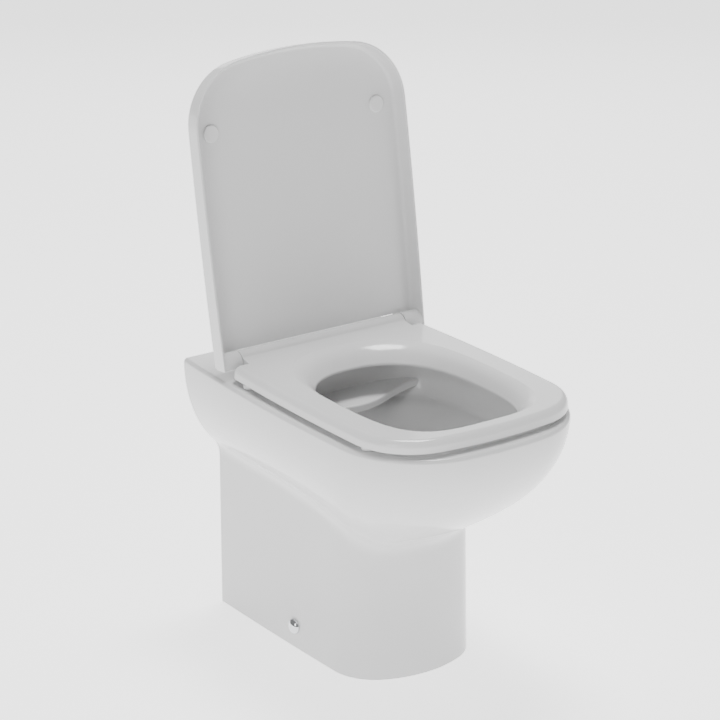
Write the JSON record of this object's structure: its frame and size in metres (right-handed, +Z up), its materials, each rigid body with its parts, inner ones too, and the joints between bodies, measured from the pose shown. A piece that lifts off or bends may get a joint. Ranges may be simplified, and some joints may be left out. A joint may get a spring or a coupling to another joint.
{
  "type": "back to wall toilet",
  "caption": "Floor-standing back-to-wall toilet with a soft-cornered square rim, a rimless bowl, a soft-close ring seat and a wrap-over lid standing open.",
  "frame": {"origin": "on the floor, under the middle of the whole object's footprint, with the seat down and the lid open", "axes": "+X to the right seen from the front, +Y towards the wall the pan stands against, +Z up; the bowl's front faces -Y"},
  "size_m": [0.3648, 0.54, 0.8475],
  "materials": {
    "glazed_ceramic": "gloss",
    "seat_plastic": "gloss",
    "buffer_plastic": "satin",
    "chrome": "polished",
    "steel": "satin",
    "grey_plastic": "satin",
    "white_plastic": "satin",
    "black_rubber": "matte"
  },
  "bodies": {
    "pan": {"pan": "glazed_ceramic", "bowl": "glazed_ceramic", "trapway": "glazed_ceramic", "hinge_post_left": "chrome", "hinge_post_right": "chrome", "hinge_pin_left": "steel", "hinge_pin_right": "steel", "hinge_pad_left": "black_rubber", "hinge_pad_right": "black_rubber", "hinge_stud_left": "steel", "hinge_stud_right": "steel", "cone_washer_left": "black_rubber", "cone_washer_right": "black_rubber", "wing_nut_left": "white_plastic", "wing_nut_right": "white_plastic", "floor_bracket_left": "grey_plastic", "floor_bracket_right": "grey_plastic", "floor_screw_left": "steel", "floor_screw_right": "steel", "side_screw_left": "steel", "side_screw_right": "steel", "side_sleeve_left": "white_plastic", "side_sleeve_right": "white_plastic", "side_cap_left": "chrome", "side_cap_right": "chrome", "flush_inlet_seal": "black_rubber", "waste_connector": "black_rubber"},
    "seat": {"seat": "seat_plastic", "seat_buffer_front_left": "buffer_plastic", "seat_buffer_front_right": "buffer_plastic", "seat_buffer_rear_left": "buffer_plastic", "seat_buffer_rear_right": "buffer_plastic", "soft_close_damper_left": "grey_plastic", "soft_close_damper_right": "grey_plastic"},
    "lid": {"lid": "seat_plastic", "lid_buffer_left": "buffer_plastic", "lid_buffer_right": "buffer_plastic", "lid_hinge_bush_left": "grey_plastic", "lid_hinge_bush_right": "grey_plastic"}
  },
  "joints": [
    {"name": "seat_hinge", "type": "hinge", "parent": "pan", "child": "seat", "pos_m": [0, 0.171, 0.4197], "axis": [-1, 0, 0], "range_deg": [0, 99.5]},
    {"name": "lid_hinge", "type": "hinge", "parent": "pan", "child": "lid", "pos_m": [0, 0.171, 0.4197], "axis": [-1, 0, 0], "range_deg": [-99.5, 0]}
  ]
}
